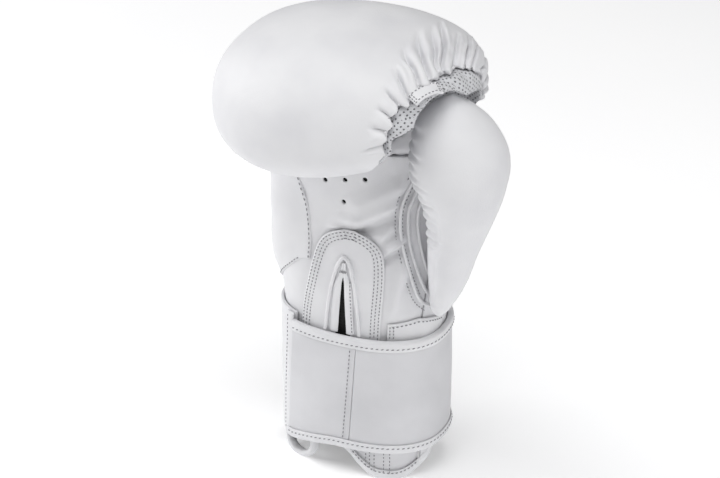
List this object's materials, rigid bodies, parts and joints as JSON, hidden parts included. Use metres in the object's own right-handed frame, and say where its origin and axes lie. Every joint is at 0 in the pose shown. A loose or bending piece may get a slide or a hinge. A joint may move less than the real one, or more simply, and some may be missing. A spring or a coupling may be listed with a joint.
{
  "type": "boxing glove",
  "caption": "Padded right-hand boxing glove with a gathered finger roll, separate thumb, arched slit patch and a wide closing strap round the cuff.",
  "frame": {"origin": "centre of the object's box on the surface that the cuff stands on", "axes": "+Z from the cuff's edge to the knuckles, -Y out of the palm, +X towards the thumb"},
  "size_m": [0.1804, 0.1308, 0.3004],
  "materials": {
    "leather": "matte white leather with fine grain",
    "strap": "matte off-white strap facing",
    "mesh": "pale perforated mesh",
    "binding": "white edge binding with slight sheen",
    "lining": "black woven lining"
  },
  "bodies": {
    "root": {"fist_shell": "leather", "palm_panel": "leather", "side_panel": "leather", "grip_mesh": "mesh", "thumb_pod": "leather", "thumb_tab": "binding", "gusset_welt_outer": "leather", "gusset_welt_middle": "leather", "gusset_welt_inner": "leather", "wrist_patch": "leather", "slit_binding_left": "binding", "slit_binding_right": "binding", "slit_welt": "leather", "cuff_back": "leather", "flap_binding": "binding", "palm_binding": "binding", "cuff_loop": "binding", "strap_end_panel": "strap", "strap_main": "strap", "strap_piping_top": "binding", "strap_piping_bottom": "binding", "lining": "lining"}
  },
  "joints": []
}
